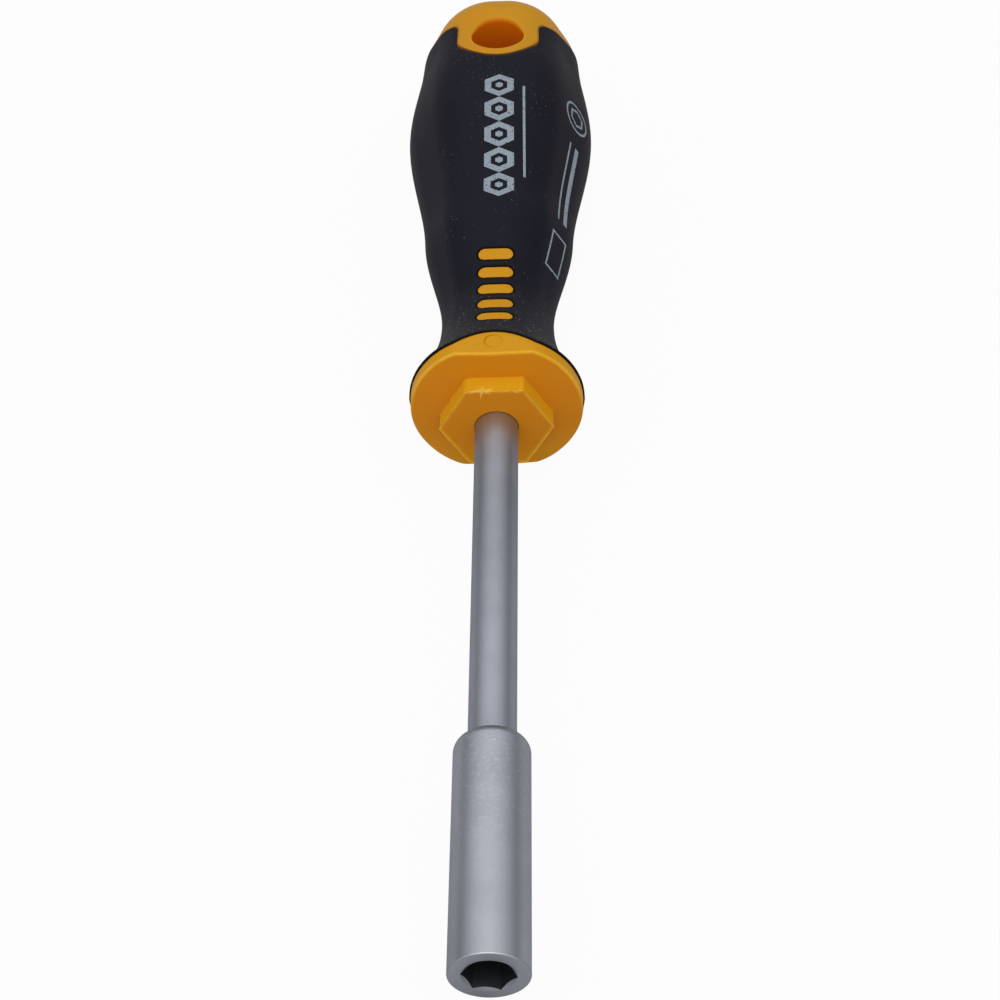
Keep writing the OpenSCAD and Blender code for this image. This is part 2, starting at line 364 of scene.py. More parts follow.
def soft_least(first, second, blend):
    """The smaller of two lengths, with a rounded change from one to the other."""
    gap = first - second
    return (first + second - math.sqrt(gap * gap + 4 * blend * blend)) / 2


def flat_radius(flats, a):
    """Distance from the axis to the flats on top and bottom, at an angle from the right."""
    return flats / 2 / max(abs(math.sin(a)), 0.05)


def rounded_hexagon(half, corner, a):
    """Distance from the axis to a hexagon with rounded corners and flats above and below, at an angle."""
    away = abs((a + math.pi / 6) % (math.pi / 3) - math.pi / 6)
    flat = half / math.cos(math.pi / 6 - away)
    if flat * math.sin(away) > corner / 2:
        return flat
    middle = (half - corner) / math.cos(math.pi / 6)
    return middle * math.cos(away) + math.sqrt(corner**2 - (middle * math.sin(away)) ** 2)


def ramp(value, low, high):
    """A smooth step from nothing at low to all at high."""
    u = min(1, max(0, (value - low) / (high - low)))
    return u * u * (3 - 2 * u)


def span_at(stations, d, slack=0.0):
    """The two neighbouring stations between which a distance lies."""
    return next(pair for pair in zip(stations, stations[1:]) if d <= pair[1][0] + slack)


class Outline:
    """The outside of the handle behind the flange, worked out from the sizes of grip and core."""

    LIP_SLOPE = -0.66
    SWELL_SLOPE = 0.04
    TAIL_SLOPE = -0.05
    DOME_POWER = 0.86
    FLAT_BLEND = 0.06 * MM
    HORN_REACH = 1.4

    def __init__(self, scene):
        sizes = scene.screwdriver_grip
        self.sizes = sizes
        self.core = scene.screwdriver_core
        self.front = GRIP_LOW.y
        self.end = CORE_HIGH.y
        lip = sizes.lip_length
        self.waist = lip + sizes.neck_length
        swell = self.waist + sizes.swell_length
        belly = swell + sizes.rise_length
        self.body = belly + sizes.fall_length
        self.whole = self.end - self.front
        self.stations = (
            (0, sizes.lip / 2, 0),
            (lip, sizes.lip / 2, self.LIP_SLOPE),
            (self.waist, sizes.waist / 2, 0),
            (swell, sizes.swell / 2, self.SWELL_SLOPE),
            (belly, sizes.belly / 2, 0),
            (self.body, sizes.tail / 2, self.TAIL_SLOPE),
        )
        self.flat_shares = ((0, 0), (swell, 1), (belly, 1), (self.body, 0.8), (self.whole, 0.3))
        self.belly_flat = 1 - sizes.belly_flats / sizes.belly
        self.lobe_r = HOLE_R + sizes.lobe_wall
        self.lobe_start = HOLE_Y - self.lobe_r - self.front
        self.edge_axis = self.end - sizes.cap_length - sizes.cap_edge
        self.bars = [self.front + sizes.bar_start + i * sizes.bar_pitch for i in range(sizes.bar_count)]

    def half_width(self, d):
        """Half width over the corners at a distance from the lip, before the end is rounded."""
        if d >= self.body:
            return self.stations[-1][1] + self.TAIL_SLOPE * (d - self.body)
        low, high = span_at(self.stations, d)
        span = high[0] - low[0]
        u = (d - low[0]) / span
        return (
            (2 * u**3 - 3 * u**2 + 1) * low[1] + (u**3 - 2 * u**2 + u) * span * low[2]
            + (3 * u**2 - 2 * u**3) * high[1] + (u**3 - u**2) * span * high[2]
        )

    def flat_depth(self, d):
        """Depth of the six flats as a share of the half width."""
        low, high = span_at(self.flat_shares, d, MM)
        u = (d - low[0]) / (high[0] - low[0])
        return self.belly_flat * (low[1] + (high[1] - low[1]) * u)

    def rounding(self, d):
        """Share of the half width that the rounded end leaves."""
        if d <= self.body:
            return 1
        u = min(1, (d - self.body) / (self.whole - self.body))
        return math.sqrt(1 - u * u) ** self.DOME_POWER

    def radius(self, d, a):
        """Distance from the axis at a distance from the lip and an angle from the right."""
        width = self.half_width(d) * self.rounding(d)
        half = width * (1 - self.flat_depth(d))
        r = rounded_hexagon(half, width - (width - half) / (1 - math.cos(math.pi / 6)), a)
        if d < self.waist:
            r = soft_least(r, flat_radius(self.core.flats, a), self.FLAT_BLEND)
        return r

    def inset(self, d):
        """How far the hard end lies below the grip, at a distance from the lip."""
        return self.core.cap_inset * ramp(d, self.lobe_start - 1 * MM, self.lobe_start) * self.rounding(d)

    def height(self, x, y):
        """Height of the hard end's top surface over a place on the tool."""
        d = y - self.front
        z = self.half_width(d)
        for _ in range(12):
            r = self.radius(d, math.atan2(z, x)) - self.inset(d)
            z = math.sqrt(max(r * r - x * x, 0))
        return z

    def edge_place(self, x):
        """Place of the axis about which the grip's rear edge is curved, at a distance to the right."""
        return self.edge_axis + self.sizes.cap_skew * (self.sizes.tail / 2 - x)

    def seam(self, p, rear_gap=0.0, bar_gap=0.0):
        """Signed distance from the edge of the hard core, or of gaps round it, below zero on the core."""
        along = p.y - HOLE_Y
        lobe = (abs(p.x) if along > 0 else math.hypot(p.x, along)) - self.lobe_r
        cap = self.sizes.cap_edge - math.hypot(p.z, max(p.y - self.edge_place(p.x), 0))
        horn = self.HORN_REACH * self.sizes.horn
        corner = math.hypot(max(horn - lobe, 0), max(horn - cap, 0))
        nearest = max(horn, min(lobe, cap)) - corner - rear_gap
        if p.z > 0:
            reach = (self.sizes.bar_length - self.sizes.bar_width) / 2
            for bar in self.bars:
                across = max(abs(p.x) - reach, 0)
                nearest = min(nearest, math.hypot(across, p.y - bar) - self.sizes.bar_width / 2 - bar_gap)
        return nearest


def handle_rows(outline):
    """Distances from the lip at which the handle's surface has its rings, close together at edges."""
    sizes = outline.sizes
    fine = 0.24 * MM
    coarse = 1.1 * MM
    lip_end = sizes.lip_length + 0.4 * MM
    flats_end = 5 * MM
    bars_start = outline.bars[0] - outline.front - sizes.bar_width
    bars_end = outline.bars[-1] - outline.front + sizes.bar_width
    lobe_start = outline.lobe_start - 1 * MM
    cap_end = outline.end - sizes.cap_length - outline.front + 2.4 * MM
    dome = [
        outline.body + (outline.whole - outline.body) * math.sin(math.radians(a))
        for a in range(20, 91, 3)
    ]
    rows = spaced(
        (0, sizes.lip_round, 0.03 * MM), (sizes.lip_round, lip_end, 0.12 * MM),
        (lip_end, flats_end, fine), (flats_end, bars_start, 0.5 * MM), (bars_start, bars_end, fine),
        (bars_end, lobe_start, coarse), (lobe_start, cap_end, fine),
    )
    return rows + [d for d in dome if d > cap_end + 0.3 * MM] + [outline.whole]


def handle_columns():
    """Angles round the handle, close together on top and below."""
    fine = math.radians(1)
    coarse = math.radians(2)
    edge = math.radians(44)
    quarter = FULL_TURN / 4
    half = spaced((0, quarter - edge, coarse), (quarter - edge, quarter + edge, fine),
                  (quarter + edge, 2 * quarter, coarse))
    return half + [a + 2 * quarter for a in half[1:]]


def lip_edge(outline, d, a):
    """How far the thin front edge of the grip stands out, and how far it reaches over the flange."""
    sizes = outline.sizes
    torn = waver(a, 14, 3.1)
    fray = waver(a, 38, 8.4)
    sides = 0.2 + 0.8 * abs(math.cos(a)) ** 6
    ragged = sizes.lip_ragged * sides * (1 - ramp(d, 0.2 * MM, sizes.lip_length))
    edge = max(sizes.lip_round - d, 0)
    drop = sizes.lip_round - math.sqrt(sizes.lip_round**2 - edge**2)
    return ragged * (0.5 * torn + 0.4 * fray) - drop, ragged * (0.5 + torn + 0.7 * fray)


def handle_form(outline, hard):
    """The whole handle behind the flange as one closed form, with soft edges along the gaps.

    The hard form lies a little lower at the end, the soft one has the thin lip at the flange."""
    sizes = outline.sizes

    def place(d, a):
        r = outline.radius(d, a)
        y = outline.front + d
        if hard:
            r -= outline.inset(d)
        elif d > outline.lobe_start:
            edge = outline.edge_axis + sizes.cap_edge - outline.front
            r += sizes.rear_rise * ramp(d, edge - 9 * MM, edge - 2 * MM) * outline.rounding(d)
        elif d < sizes.lip_length:
            rise, reach = lip_edge(outline, d, a)
            r += rise
            y -= reach
        return around(r, y, a)

    mesh = wrap(handle_rows(outline), handle_columns(), place)
    bmesh.ops.holes_fill(mesh, edges=[e for e in mesh.edges if e.is_boundary], sides=0)
    bmesh.ops.recalc_face_normals(mesh, faces=mesh.faces)
    mesh.normal_update()
    sunk = []
    for vert in mesh.verts:
        if vert.co.y < outline.front + sizes.lip_length:
            continue
        away = -outline.seam(vert.co) if hard else outline.seam(vert.co, sizes.rear_gap, sizes.bar_gap)
        closeness = min(1, max(0, 1 - away / sizes.edge_width))
        sunk.append((vert, vert.normal * sizes.edge_depth * closeness**2))
    for vert, shift in sunk:
        vert.co -= shift
    return mesh


def lobe_points(outline, rear_gap, back, turn):
    """One half of the lobe's outline, from its front to the rounded corner where it meets the cap.

    The turn is 1 for the right half and -1 for the left."""
    sizes = outline.sizes
    edge = sizes.cap_edge - rear_gap
    side = outline.lobe_r + rear_gap

    def bow(x, y):
        return outline.edge_place(turn * x) + math.sqrt(edge**2 - outline.height(x, y) ** 2)

    corner = bow(side, HOLE_Y)
    points = arc((0, HOLE_Y), side, -90, 0, 48)
    first = Vector((side, corner - sizes.horn))
    middle = Vector((side, corner))
    last = Vector((side + sizes.horn, bow(side + sizes.horn, corner)))
    for i in range(13):
        u = i / 12
        point = first * (1 - u) ** 2 + middle * 2 * u * (1 - u) + last * u**2
        points.append((point.x, point.y))
    points.append((side + sizes.horn, back))
    return [(turn * x, y) for x, y in points]


def core_field(outline, rear_gap=0.0, bar_gap=0.0):
    """The space in which the hard core reaches the outside of the handle, or that space with its gaps."""
    sizes = outline.sizes
    reach = sizes.belly
    back = outline.end + 4 * MM
    edge = sizes.cap_edge - rear_gap
    half = math.degrees(math.asin(min(1, sizes.belly / 2 * 1.08 / edge)))
    bow = arc((0, outline.edge_place(-reach)), edge, 90 - half, 90 + half, 64)
    side = [Vector((-reach, y, z)) for z, y in bow]
    side += [Vector((-reach, back, bow[-1][0])), Vector((-reach, back, bow[0][0]))]
    cap = prism(side, Vector((2 * reach, -2 * reach * sizes.cap_skew, 0)))
    right = lobe_points(outline, rear_gap, back, 1)
    left = lobe_points(outline, rear_gap, back, -1)[:0:-1]
    lobe = prism([Vector((x, y, -reach)) for x, y in right + left], Vector((0, 0, 2 * reach)))
    field = combined(cap, lobe, "UNION")
    end_r = sizes.bar_width / 2 + bar_gap
    half_bar = (sizes.bar_length - sizes.bar_width) / 2
    bars = []
    for y in outline.bars:
        pill = arc((half_bar, y), end_r, -90, 90, 24) + arc((-half_bar, y), end_r, 90, 270, 24)
        bars.append(prism([Vector((px, py, sizes.waist / 4)) for px, py in pill], Vector((0, 0, reach))))
    return joined(field, *bars)


def core_wall(outline):
    """Outline of the round inner body of the core, from the end of the cone on."""
    sizes = outline.sizes
    rows = spaced((outline.core.cone, outline.whole - sizes.cap_length + 1 * MM, 2 * MM))
    return [
        (outline.half_width(d) * (1 - outline.flat_depth(d)) - sizes.wall, outline.front + d)
        for d in rows
    ]


def round_body(profile):
    """A body turned from an outline, with a bore that the shaft fills."""
    first, last = (HIDDEN_R, profile[0][1]), (HIDDEN_R, profile[-1][1])
    return turned([first] + profile + [last], spaced((0, FULL_TURN, math.radians(3))))


# Finishes

class Wire:
    """A shader value that can be used in sums. Each operation adds a Math node."""

    def __init__(self, finish, socket):
        self.finish = finish
        self.socket = socket

    def math(self, operation, first, second=0.0):
        return self.finish.node("ShaderNodeMath", {"operation": operation}, {0: first, 1: second})

    def __add__(self, other):
        return self.math("ADD", self, other)

    def __radd__(self, other):
        return self.math("ADD", other, self)

    def __sub__(self, other):
        return self.math("SUBTRACT", self, other)

    def __rsub__(self, other):
        return self.math("SUBTRACT", other, self)

    def __mul__(self, other):
        return self.math("MULTIPLY", self, other)

    def __rmul__(self, other):
        return self.math("MULTIPLY", other, self)

    def __truediv__(self, other):
        return self.math("DIVIDE", self, other)

    def __lt__(self, other):
        return self.math("LESS_THAN", self, other)

    def __gt__(self, other):
        return self.math("GREATER_THAN", self, other)

    def __abs__(self):
        return self.math("ABSOLUTE", self)

    def least(self, other):
        return self.math("MINIMUM", self, other)

    def most(self, other):
        return self.math("MAXIMUM", self, other)

    def hypot(self, other):
        return self.math("SQRT", self * self + other * other)

    def wrapped(self, low, high):
        return self.finish.node("ShaderNodeMath", {"operation": "WRAP"}, {0: self, 1: high, 2: low})


class Nodes:
    """The nodes of a material or of the world."""

    def __init__(self, owner):
        owner.use_nodes = True
        self.tree = owner.node_tree

    def node(self, kind, settings=None, sockets=None, output=0):
        """Any node: its type, its settings, the values or links of its sockets, and the output wanted."""
        made = self.tree.nodes.new(kind)
        for key, value in (settings or {}).items():
            if key == "stops":
                self.set_stops(made.color_ramp.elements, value)
            else:
                setattr(made, key, value)
        self.connect(made, sockets or {})
        return Wire(self, made.outputs[output])

    def set_stops(self, elements, stops):
        while len(elements) < len(stops):
            elements.new(0.5)
        for element, (position, value) in zip(elements, stops):
            element.position = position
            element.color = (value, value, value, 1)

    def connect(self, node, sockets):
        for key, value in sockets.items():
            if isinstance(value, Wire):
                self.tree.links.new(value.socket, node.inputs[key])
            else:
                node.inputs[key].default_value = value

    def between(self, value, low, high):
        """A value stretched so that low gives nothing and high gives all."""
        sockets = {0: value, 1: low, 2: high, 3: 0.0, 4: 1.0}
        return self.node("ShaderNodeMapRange", {"clamp": True}, sockets)


class Finish(Nodes):
    """A material and the nodes that make it."""

    def __init__(self, name):
        self.material = bpy.data.materials.new(name)
        super().__init__(self.material)
        self.shader = self.tree.nodes["Principled BSDF"]
        self.object_space = self.node("ShaderNodeTexCoord", output="Object")

    def surface(self, **sockets):
        """Sets the main shader's sockets. An underscore in a name stands for a space."""
        self.connect(self.shader, {key.replace("_", " "): value for key, value in sockets.items()})
        return self.material

    def mix(self, factor, first, second):
        """A colour between two colours."""
        return self.node("ShaderNodeMix", {"data_type": "RGBA"}, {0: factor, 6: first, 7: second}, 2)

    def noise(self, size, detail, stretch=None):
        """Noise with features about as large as size, stretched along the tool where asked."""
        where = self.object_space
        if stretch:
            where = self.node("ShaderNodeMapping", {}, {"Vector": where, "Scale": (1, 1 / stretch, 1)})
        return self.node("ShaderNodeTexNoise", {}, {"Vector": where, "Scale": 1 / size, "Detail": detail})

    def axes(self, turn=0.0):
        """The three coordinates on the piece, turned about the tool's axis."""
        where = self.object_space
        if turn:
            where = self.node("ShaderNodeMapping", {}, {"Vector": where, "Rotation": (0, turn, 0)})
        return [self.node("ShaderNodeSeparateXYZ", {}, {0: where}, output=axis) for axis in "XYZ"]

    def marked(self, name):
        """A mark on the piece's points."""
        return self.node("ShaderNodeAttribute", {"attribute_name": name}, output="Fac")

    def bump(self, height, strength, distance):
        """The surface's direction, tilted by a height."""
        sockets = {"Height": height, "Strength": strength, "Distance": distance}
        return self.node("ShaderNodeBump", {}, sockets, "Normal")


def opaque(rgb):
    """A colour with full opacity."""
    return (*rgb, 1)


def hexagon(across, along):
    """Distance from a hexagon's middle, measured to its flats, two of which face the first axis."""
    return abs(across).most(abs(across) * 0.5 + abs(along) * math.cos(math.pi / 6))


def satin_steel(name, tint, bright, roughness, drawn, shade):
    """Satin plated steel: fine grain, faint drawing marks, a few darker smudges and pits, and painted
    glints.

    The shade is a function that gives each place's darkness, its share of painted glints and coarse
    grain, and its painted highlight."""
    finish = Finish(name)
    grain = finish.noise(0.16 * MM, 3)
    coarse = finish.noise(0.7 * MM, 2, stretch=0.7)
    marks = finish.noise(0.5 * MM, 2, stretch=drawn)
    smudge = finish.noise(6 * MM, 4)
    pits = finish.between(finish.noise(0.9 * MM, 1), 0.74, 0.79)
    dark = opaque([0.8 * c for c in tint])
    worn = finish.mix(finish.between(smudge, 0.35, 0.75) * 0.5, opaque(tint), dark)
    plated = finish.mix(pits * 0.35, worn, opaque([0.4 * c for c in tint]))
    darkness, glint_and_grain_share, rub_and_highlight = shade(finish)
    # Painted glints: bright specks in the colour, also raised in the bump, and painted shade specks.
    glints = finish.between(coarse, 0.58, 0.66) * glint_and_grain_share
    painted_speck_shade = (1 - finish.between(coarse, 0.33, 0.4)) * glint_and_grain_share
    speckled = finish.mix(glints * 0.45, plated, opaque([1.3 * c for c in tint]))
    shaded = finish.mix(darkness.most(painted_speck_shade * 0.08), speckled, (0, 0, 0, 1))
    # The colour carries the darkness, the painted glints and the painted highlight.
    return finish.surface(
        Base_Color=finish.mix(rub_and_highlight, shaded, opaque(bright)),
        Metallic=1.0,
        Roughness=roughness + (smudge - 0.5) * 0.12 + (marks - 0.5) * 0.08,
        Normal=finish.bump(grain * 0.6 + marks * 0.4 + glints * 9 - pits, 0.12, 0.02 * MM),
        # The pale specular tint darkens the metal's grazing reflections at its sides: painted shade.
        Specular_Tint=(0.66, 0.66, 0.69, 1),
    )


def sleeve_shade(sizes):
    """Darkness of the sleeve in its socket and on the lead-in, and painted shade on the end face,
    the shoulder, the left side near the mouth and the sides of the front edge.

    Painted glints grow towards the back, and the upper front edge has a painted highlight."""
    def shade(finish):
        x, y, z = finish.axes(-sizes.socket_turn)
        face = 0.02 * MM
        inside = (hexagon(z, x) < sizes.socket_flats / 2 + face) * (y > 0) * 0.6
        lead_in = (x.hypot(z) < sizes.mouth / 2) * (y > face) * 0.4
        outer = SLEEVE_HIGH.x
        # Painted shade on the end face, lighter towards its top and sides.
        end = (y < face) * (0.34 - z * (0.08 / outer) - abs(x) * (0.22 / outer))
        # Painted shade on the shoulder's rounding.
        shoulder = finish.between(y, SLEEVE_HIGH.y - 1.85 * MM, SLEEVE_HIGH.y - 1.4 * MM) * 0.21
        # Painted shade on the left side near the mouth.
        left = finish.between(0 - x, 0.5 * MM, 4 * MM) * finish.between(0 - y, -14 * MM, -2 * MM) * 0.14
        # Noise that breaks up the painted highlight along the front edge.
        worn = finish.between(finish.noise(1.5 * MM, 3), 0.3, 0.5)
        edge = (y > face) * (y < sizes.edge_round * 0.8) * (x.hypot(z) > outer * 0.9)
        upper = finish.between(z, 0.7 * outer, 0.95 * outer)
        # Painted highlight on the upper part of the front edge.
        rub_and_highlight = edge * upper * worn * 0.2
        # Painted shade on the sides of the front edge's rounding.
        edge_side_shade = edge * (1 - upper) * 0.28
        # Painted glints and coarse grain grow towards the shoulder.
        glint_and_grain_share = finish.between(y, 8 * MM, 32 * MM)
        darkness = inside.most(lead_in).most(end).most(shoulder).most(left).most(edge_side_shade)
        return darkness, glint_and_grain_share, rub_and_highlight
    return shade


def shaft_shade(finish):
    """Painted shade along the shaft, least beside the handle.

    Its grain is fine, with no painted glints and no painted highlight.
    """
    along = finish.between(finish.axes()[1], SLEEVE_HIGH.y, CORE_LOW.y)
    stops = (0, 0.13), (0.4, 0.13), (0.72, 0.27), (0.86, 0.24), (0.98, 0.0)
    return finish.node("ShaderNodeValToRGB", {"stops": stops}, {0: along}), 0.0, 0.0


def plain_metal(name, tint, roughness):
    """Plain metal inside the socket, with a little grease."""
    finish = Finish(name)
    smudge = finish.noise(1.5 * MM, 3)
    return finish.surface(
        Base_Color=finish.mix(smudge, opaque(tint), opaque([0.5 * c for c in tint])),
        Metallic=1.0,
        Roughness=roughness + (smudge - 0.5) * 0.2,
    )


def stroke(across, along, place, turn, size):
    """Mask of a pointed scratch, from its middle, its turn, and half its length and width."""
    x = across - place[0] * MM
    y = along - place[1] * MM
    u = x * math.cos(turn) + y * math.sin(turn)
    v = y * math.cos(turn) - x * math.sin(turn)
    return abs(v) / (size[1] * MM) + abs(u) / (size[0] * MM) < 1


def boss_scuffs(finish, sizes):
    """Mask of the scuffs on the upper front edge of the boss, a star and two chips."""
    x, y, z = finish.axes()
    bend = finish.noise(0.7 * MM, 2) - 0.5
    over = (y - CORE_LOW.y) + (z - sizes.boss_flats / 2) + bend * (0.5 * MM)
    strokes = (
        ((-2.3, 0.1), 0.03, (2.6, 0.3)), ((-2.0, 0.0), 1.4, (1.5, 0.3)),
        ((-3.0, 0.2), 0.5, (1.3, 0.24)), ((-1.4, -0.1), -0.5, (1.1, 0.24)),
        ((-1.2, 0.3), 0.3, (1.3, 0.22)), ((3.4, -0.2), -0.6, (0.8, 0.2)), ((3.9, 0.1), 0.3, (0.6, 0.18)),
    )
    mask = stroke(x, over, *strokes[0])
    for place, turn, size in strokes[1:]:
        mask = mask.most(stroke(x, over, place, turn, size))
    return mask * (y < CORE_LOW.y + sizes.boss_height * 0.6)


def boss_glow(finish, sizes):
    """How much light shines through the front edges of the boss, falling off on its face and sides."""
    x, y, z = finish.axes()
    inset = abs(sizes.boss_flats / 2 - hexagon(z, x))
    away = inset / (0.7 * MM) + abs(y - CORE_LOW.y) / (0.42 * MM)
    near = (1 - away).most(0.0)
    return near * near * finish.between(finish.noise(1.2 * MM, 3), 0.15, 0.5)


def yellow_plastic(colours, sizes):
    """Hard moulded plastic with flow streaks, scuffs and paler flash on broken edges.

    It has painted light on the boss, the flange's sides and through the boss's edges, painted shade on
    the front faces and in the hole, a painted shadow in the seam and painted highlights along rim and
    hole.
    """
    finish = Finish("yellow_plastic")
    flow = finish.noise(9 * MM, 3)
    grain = finish.noise(0.25 * MM, 2)
    marks = finish.between(finish.noise(0.35 * MM, 2, stretch=8), 0.7, 0.76)
    scuffs = boss_scuffs(finish, sizes)
    torn, bright, front, hole, seam = [finish.marked(name) for name in CORE_MARKS]
    streaks = finish.between(flow, 0.3, 0.7) * 0.35
    body = finish.mix(streaks, opaque(colours.plastic), opaque(colours.plastic_streak_and_shade))
    # Painted light, painted shade, a painted shadow in the seam and painted highlights are mixed in here,
    # besides the flow streaks, the flash on broken edges and the scuffs.
    for share_there, tint in (
        (bright, colours.plastic_painted_light), (front, colours.plastic_streak_and_shade), (hole, colours.plastic_hole_shade),
        # Painted shadow in the seam; painted light through the boss's front edges, in the flash colour.
        (seam, colours.seam), (boss_glow(finish, sizes), colours.flash),
        # Flash on broken edges, with painted highlights along the flange's front edge and the hole's
        # front edge.
        (finish.between(torn * (0.6 + finish.noise(0.6 * MM, 2)), 0.1, 0.9), colours.flash),
        (scuffs * 0.72, colours.scuff),
    ):
        body = finish.mix(share_there, body, opaque(tint))
    return finish.surface(
        Base_Color=body,
        Roughness=0.42 + (flow - 0.5) * 0.12 + marks * 0.15,
        Normal=finish.bump(grain + marks * 0.5 + scuffs * 6, 0.08, 0.02 * MM),
        Specular_IOR_Level=0.12,
    )


def top_print(finish):
    """Mask of a row of plain hexagons and a thin line on top of the grip."""
    x, y, z = finish.axes()
    pitch = 6.1 * MM
    size = 2.6 * MM
    start = 147 * MM
    count = 5
    along = (y - start).wrapped(-pitch / 2, pitch / 2)
    cell = hexagon(x - 0.5 * MM, along)
    ring = (cell < size) * (cell > 0.55 * size) + (cell < 0.25 * size)
    row = ring * (y > start - pitch / 2) * (y < start + (count - 0.5) * pitch)
    line = (abs(x - 4.9 * MM) < 0.22 * MM) * (y > 149 * MM) * (y < 171 * MM)
    return (row + line) * (z > 0)


def side_print(finish):
    """Mask of a ring with a hexagon in it and two plain stripes on the right side of the grip."""
    x, y, z = finish.axes(math.radians(-64))
    line = 0.24 * MM
    centre = 172.5 * MM
    ring = abs(x.hypot(y - centre) - 3.3 * MM) < line
    cell = abs(hexagon(x, y - centre) - 1.7 * MM) < line
    broad = (abs(x - 1.2 * MM) < 0.55 * MM) * (y > 145 * MM) * (y < 165 * MM)
    thin = (abs(x + 0.9 * MM) < 0.22 * MM) * (y > 145 * MM) * (y < 165 * MM)
    frame_y = abs(y - 137 * MM) - 4 * MM
    frame_x = abs(x) - 2 * MM
    box = abs(frame_y.most(frame_x)) < 0.2 * MM
    return (ring + cell + broad + thin + box) * (z > 0)


def lint(finish, spacing, size, least):
    """Mask of specks of lint, from their spacing in millimetres, their size and their least value."""
    sockets = {"Vector": finish.object_space, "Scale": 1 / (spacing * MM)}
    distance = finish.node("ShaderNodeTexVoronoi", {}, sockets, "Distance")
    value = finish.node("ShaderNodeTexVoronoi", {}, sockets, "Color")
    return (distance < size) * (value > least)


def black_rubber(colours):
    """Soft moulded grip: matte, finely textured, dusty, with pale print.

    The neck has more lint and painted light, and the edges along the core a painted shadow.
    """
    finish = Finish("black_rubber")
    texture = finish.noise(0.22 * MM, 3)
    cloud = finish.noise(7 * MM, 4)
    # Towards the flange the neck gets more lint specks and a paler colour, which is painted light.
    plain_from = 126 * MM
    lint_and_light_to = 111 * MM
    neck_lint_and_light = finish.between(0 - finish.axes()[1], -plain_from, -lint_and_light_to)
    dusty = finish.between(finish.noise(9 * MM, 3), 0.42, 0.7).most(neck_lint_and_light * 0.8)
    specks = dusty * (lint(finish, 0.9, 0.085, 0.0) + lint(finish, 0.45, 0.07, 0.0) * 0.7)
    specks = specks + neck_lint_and_light * (lint(finish, 0.8, 0.16, 0.5) * 0.9 + lint(finish, 0.5, 0.17, 0.6) * 0.7)
    rub_and_highlight = finish.between(finish.noise(0.5 * MM, 3, stretch=6), 0.66, 0.8) * dusty
    ink = (top_print(finish) + side_print(finish)).least(1.0)
    worn_ink = ink * finish.between(finish.noise(0.3 * MM, 3), 0.3, 0.42)
    # Where a painted shadow lies along the edges at the hard core.
    edge = finish.marked("edge")
    pale = opaque([1.9 * c for c in colours.rubber])
    body = finish.mix(finish.between(cloud, 0.35, 0.75) * 0.6, opaque(colours.rubber), pale)
    # The paler neck here is painted light; the specks and streaks are lint and dust.
    dust_and_neck_light = finish.mix(specks * 0.8 + rub_and_highlight * 0.12 + neck_lint_and_light * 0.042, body, opaque(colours.dust))
    inked = finish.mix(worn_ink, dust_and_neck_light, opaque(colours.print_ink))
    return finish.surface(
        # Painted shadow: a darker colour, made mostly metallic so that the rubber's sheen goes dark too.
        Base_Color=finish.mix(edge, inked, opaque(colours.rubber_edge_shadow)),
        Metallic=edge * 0.85,
        Roughness=0.58 + (cloud - 0.5) * 0.16 + ink * 0.05,
        Normal=finish.bump(texture + worn_ink * 0.3, 0.1, 0.03 * MM),
        Specular_IOR_Level=0.12,
    )


# Operators

class SCREWDRIVER_OT_sleeve(bpy.types.Operator):
    """Turns the steel sleeve with its hexagonal socket, lead-in cone and ring groove"""

    bl_idname = "screwdriver.sleeve"
    bl_label = "Sleeve"

    def execute(self, context):
        sizes = context.scene.screwdriver_steel
        outer = SLEEVE_HIGH.x
        end = SLEEVE_HIGH.y
        inner = sizes.socket_flats / 2
        lead_in = sizes.lead_in
        ring_y = (RING_LOW.y + RING_HIGH.y) / 2
        ring_half = (RING_HIGH.y - RING_LOW.y) / 2 + sizes.groove_play
        groove = RING_HIGH.x + sizes.groove_play
        pilot = inner * 0.96
        shaft = SHAFT_HIGH.z
        rise = sizes.edge_round
        fall = sizes.shoulder_round
        face = 0.06 * MM
        profile = [
            (pilot, MAGNET_HIGH.y), (pilot, ring_y + ring_half), (groove, ring_y + ring_half),
            (groove, ring_y - ring_half), (pilot, ring_y - ring_half), (pilot, lead_in * 1.04),
            (inner, lead_in), (sizes.mouth / 2 - face, face), (sizes.mouth / 2 + face, 0),
        ]
        profile += arc((outer - rise, rise), rise, -90, 0, 10)
        gap = shaft + sizes.seat_gap
        fall_end = math.degrees(math.acos((gap + face - outer + fall) / fall))
        profile += arc((outer - fall, end - fall), fall, 0, fall_end, 14)
        profile += [(gap, end - 2 * face), (gap, end - sizes.seat_depth),
                    (shaft - face, end - sizes.seat_depth), (shaft - face, MAGNET_HIGH.y)]
        body = turned(profile, spaced((0, FULL_TURN, math.radians(2))))
        corner = inner / math.cos(math.pi / 6)
        turns = [FULL_TURN * i / 6 - sizes.socket_turn for i in range(6)]
        socket = [around(corner, -1 * MM, a) for a in turns]
        cutter = prism(socket, Vector((0, MAGNET_HIGH.y + 0.9 * MM, 0)))
        made = combined(body, cutter, "DIFFERENCE")
        colours = context.scene.screwdriver_colours
        shade = sleeve_shade(sizes)
        finish = satin_steel("satin_steel", colours.steel, colours.steel_highlight, 0.40, 1, shade)
        piece("bit_sleeve_visual", made, finish, "satin_steel", "bit_sleeve", sharp=30)
        return {"FINISHED"}


